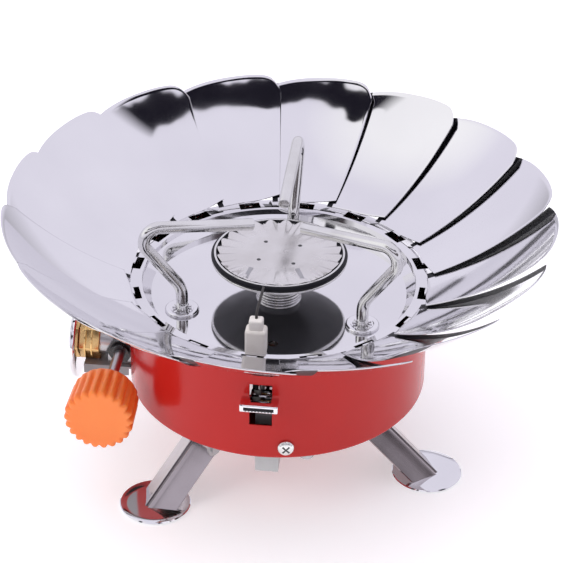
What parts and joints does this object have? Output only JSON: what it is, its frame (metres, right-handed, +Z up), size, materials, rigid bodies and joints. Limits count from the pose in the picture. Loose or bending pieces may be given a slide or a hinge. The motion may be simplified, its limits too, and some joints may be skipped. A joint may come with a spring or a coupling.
{
  "type": "camping gas stove",
  "caption": "Round camping gas stove with a folding petal windshield, swinging wire pot supports, folding legs, a piezo lever and a side gas valve with a fluted knob.",
  "frame": {"origin": "on the burner axis, on the surface that the feet stand on", "axes": "+Z up, -Y towards the igniter lever, -X towards the gas inlet"},
  "size_m": [0.198, 0.2002, 0.1077],
  "materials": {
    "red_enamel": "glossy red enamel on sheet steel",
    "plain_steel": "satin pressed steel",
    "mirror_steel": "mirror-polished stainless sheet",
    "rod_steel": "bright drawn stainless rod",
    "black_steel": "heat-blackened steel",
    "brass": "machined brass",
    "copper": "drawn copper tube",
    "white_ceramic": "unglazed white ceramic",
    "electrode_metal": "dark heat-tinted wire",
    "black_rubber": "matte black",
    "grey_plastic": "moulded, matte",
    "orange_plastic": "moulded, semi-gloss"
  },
  "bodies": {
    "root": {"housing": "red_enamel", "base_plate": "plain_steel", "housing_screws": "plain_steel", "pan": "mirror_steel", "mixing_tube": "plain_steel", "tube_nut": "plain_steel", "burner_collar": "mirror_steel", "burner_cup": "plain_steel", "burner_ring": "black_steel", "burner_cap": "mirror_steel", "jet_block": "brass", "jet_nozzle": "brass", "gas_pipe": "copper", "electrode_ceramic": "white_ceramic", "electrode_wire": "electrode_metal", "ignition_lead": "black_rubber", "igniter_body": "grey_plastic", "igniter_spring": "plain_steel", "igniter_bracket": "plain_steel", "igniter_screw": "mirror_steel", "valve_body": "plain_steel", "packing_nut": "black_steel", "coupling_nut": "brass", "connector_disc": "mirror_steel", "connector_seal": "black_rubber", "canister_pin": "brass", "support_bushes": "mirror_steel", "leg_brackets": "plain_steel", "leg_pins": "plain_steel", "leg_rivets": "plain_steel"},
    "petal_01": {"petal_01": "mirror_steel"},
    "petal_02": {"petal_02": "mirror_steel"},
    "petal_03": {"petal_03": "mirror_steel"},
    "petal_04": {"petal_04": "mirror_steel"},
    "petal_05": {"petal_05": "mirror_steel"},
    "petal_06": {"petal_06": "mirror_steel"},
    "petal_07": {"petal_07": "mirror_steel"},
    "petal_08": {"petal_08": "mirror_steel"},
    "petal_09": {"petal_09": "mirror_steel"},
    "petal_10": {"petal_10": "mirror_steel"},
    "petal_11": {"petal_11": "mirror_steel"},
    "petal_12": {"petal_12": "mirror_steel"},
    "petal_13": {"petal_13": "mirror_steel"},
    "petal_14": {"petal_14": "mirror_steel"},
    "petal_15": {"petal_15": "mirror_steel"},
    "petal_16": {"petal_16": "mirror_steel"},
    "pot_support_1": {"pot_support_1": "rod_steel"},
    "pot_support_2": {"pot_support_2": "rod_steel"},
    "pot_support_3": {"pot_support_3": "rod_steel"},
    "leg_1": {"leg_1": "mirror_steel"},
    "leg_2": {"leg_2": "mirror_steel"},
    "leg_3": {"leg_3": "mirror_steel"},
    "knob": {"knob": "orange_plastic", "valve_stem": "plain_steel", "stem_clip": "black_steel"},
    "igniter_lever": {"igniter_lever": "mirror_steel", "igniter_plunger": "grey_plastic"}
  },
  "joints": [
    {"name": "petal_01_fold", "type": "hinge", "parent": "root", "child": "petal_01", "pos_m": [-0.01725, 0.05096, 0.07435], "axis": [0.9105, 0.3082, -0.2756], "range_deg": [0, 55]},
    {"name": "petal_02_fold", "type": "hinge", "parent": "root", "child": "petal_02", "pos_m": [0.00357, 0.05368, 0.07435], "axis": [0.9591, -0.0637, -0.2756], "range_deg": [0, 55]},
    {"name": "petal_03_fold", "type": "hinge", "parent": "root", "child": "petal_03", "pos_m": [0.02384, 0.04823, 0.07435], "axis": [0.8618, -0.4259, -0.2756], "range_deg": [0, 55]},
    {"name": "petal_04_fold", "type": "hinge", "parent": "root", "child": "petal_04", "pos_m": [0.04048, 0.03544, 0.07435], "axis": [0.6332, -0.7233, -0.2756], "range_deg": [0, 55]},
    {"name": "petal_05_fold", "type": "hinge", "parent": "root", "child": "petal_05", "pos_m": [0.05096, 0.01725, 0.07435], "axis": [0.3082, -0.9105, -0.2756], "range_deg": [0, 55]},
    {"name": "petal_06_fold", "type": "hinge", "parent": "root", "child": "petal_06", "pos_m": [0.05368, -0.00357, 0.07435], "axis": [-0.0637, -0.9591, -0.2756], "range_deg": [0, 55.72]},
    {"name": "petal_07_fold", "type": "hinge", "parent": "root", "child": "petal_07", "pos_m": [0.04823, -0.02384, 0.07435], "axis": [-0.4259, -0.8618, -0.2756], "range_deg": [0, 57.52]},
    {"name": "petal_08_fold", "type": "hinge", "parent": "root", "child": "petal_08", "pos_m": [0.03544, -0.04048, 0.07435], "axis": [-0.7233, -0.6332, -0.2756], "range_deg": [0, 59.32]},
    {"name": "petal_09_fold", "type": "hinge", "parent": "root", "child": "petal_09", "pos_m": [0.01725, -0.05096, 0.07435], "axis": [-0.9105, -0.3082, -0.2756], "range_deg": [0, 61.12]},
    {"name": "petal_10_fold", "type": "hinge", "parent": "root", "child": "petal_10", "pos_m": [-0.00357, -0.05368, 0.07435], "axis": [-0.9591, 0.0637, -0.2756], "range_deg": [0, 60]},
    {"name": "petal_11_fold", "type": "hinge", "parent": "root", "child": "petal_11", "pos_m": [-0.02384, -0.04823, 0.07435], "axis": [-0.8618, 0.4259, -0.2756], "range_deg": [0, 58.75]},
    {"name": "petal_12_fold", "type": "hinge", "parent": "root", "child": "petal_12", "pos_m": [-0.04048, -0.03544, 0.07435], "axis": [-0.6332, 0.7233, -0.2756], "range_deg": [0, 57.5]},
    {"name": "petal_13_fold", "type": "hinge", "parent": "root", "child": "petal_13", "pos_m": [-0.05096, -0.01725, 0.07435], "axis": [-0.3082, 0.9105, -0.2756], "range_deg": [0, 56.25]},
    {"name": "petal_14_fold", "type": "hinge", "parent": "root", "child": "petal_14", "pos_m": [-0.05368, 0.00357, 0.07435], "axis": [0.0637, 0.9591, -0.2756], "range_deg": [0, 55]},
    {"name": "petal_15_fold", "type": "hinge", "parent": "root", "child": "petal_15", "pos_m": [-0.04823, 0.02384, 0.07435], "axis": [0.4259, 0.8618, -0.2756], "range_deg": [0, 55]},
    {"name": "petal_16_fold", "type": "hinge", "parent": "root", "child": "petal_16", "pos_m": [-0.03544, 0.04048, 0.07435], "axis": [0.7233, 0.6332, -0.2756], "range_deg": [0, 55]},
    {"name": "pot_support_1_swing", "type": "hinge", "parent": "root", "child": "pot_support_1", "pos_m": [-0.03313, -0.01799, 0.07], "axis": [0, 0, 1], "range_deg": [0, 90]},
    {"name": "pot_support_2_swing", "type": "hinge", "parent": "root", "child": "pot_support_2", "pos_m": [0.03214, -0.0197, 0.07], "axis": [0, 0, 1], "range_deg": [0, 90]},
    {"name": "pot_support_3_swing", "type": "hinge", "parent": "root", "child": "pot_support_3", "pos_m": [0.00099, 0.03769, 0.07], "axis": [0, 0, 1], "range_deg": [0, 90]},
    {"name": "leg_1_fold", "type": "hinge", "parent": "root", "child": "leg_1", "pos_m": [-0.01205, 0.03709, 0.0208], "axis": [-0.9511, -0.309, 0], "range_deg": [0, 115]},
    {"name": "leg_2_fold", "type": "hinge", "parent": "root", "child": "leg_2", "pos_m": [-0.0261, -0.02898, 0.0208], "axis": [0.7431, -0.6691, 0], "range_deg": [0, 115]},
    {"name": "leg_3_fold", "type": "hinge", "parent": "root", "child": "leg_3", "pos_m": [0.03815, -0.00811, 0.0208], "axis": [0.2079, 0.9781, 0], "range_deg": [0, 115]},
    {"name": "knob_turn", "type": "hinge", "parent": "root", "child": "knob", "pos_m": [-0.0585, -0.04, 0.041], "axis": [0, -1, 0], "range_deg": [0, 540]},
    {"name": "lever_press", "type": "slide", "parent": "root", "child": "igniter_lever", "axis": [0, 0, -1], "range_m": [0, 0.005], "stiffness_N_per_m": 1500, "springref_m": -0.002, "deforming": ["igniter_spring"]}
  ],
  "couplings": [
    {"joint": "petal_02_fold", "follows": "petal_01_fold", "ratio": 1},
    {"joint": "petal_03_fold", "follows": "petal_01_fold", "ratio": 1},
    {"joint": "petal_04_fold", "follows": "petal_01_fold", "ratio": 1},
    {"joint": "petal_05_fold", "follows": "petal_01_fold", "ratio": 1},
    {"joint": "petal_06_fold", "follows": "petal_01_fold", "ratio": 1.0131},
    {"joint": "petal_07_fold", "follows": "petal_01_fold", "ratio": 1.0458},
    {"joint": "petal_08_fold", "follows": "petal_01_fold", "ratio": 1.0785},
    {"joint": "petal_09_fold", "follows": "petal_01_fold", "ratio": 1.1113},
    {"joint": "petal_10_fold", "follows": "petal_01_fold", "ratio": 1.0909},
    {"joint": "petal_11_fold", "follows": "petal_01_fold", "ratio": 1.0682},
    {"joint": "petal_12_fold", "follows": "petal_01_fold", "ratio": 1.0455},
    {"joint": "petal_13_fold", "follows": "petal_01_fold", "ratio": 1.0227},
    {"joint": "petal_14_fold", "follows": "petal_01_fold", "ratio": 1},
    {"joint": "petal_15_fold", "follows": "petal_01_fold", "ratio": 1},
    {"joint": "petal_16_fold", "follows": "petal_01_fold", "ratio": 1}
  ]
}
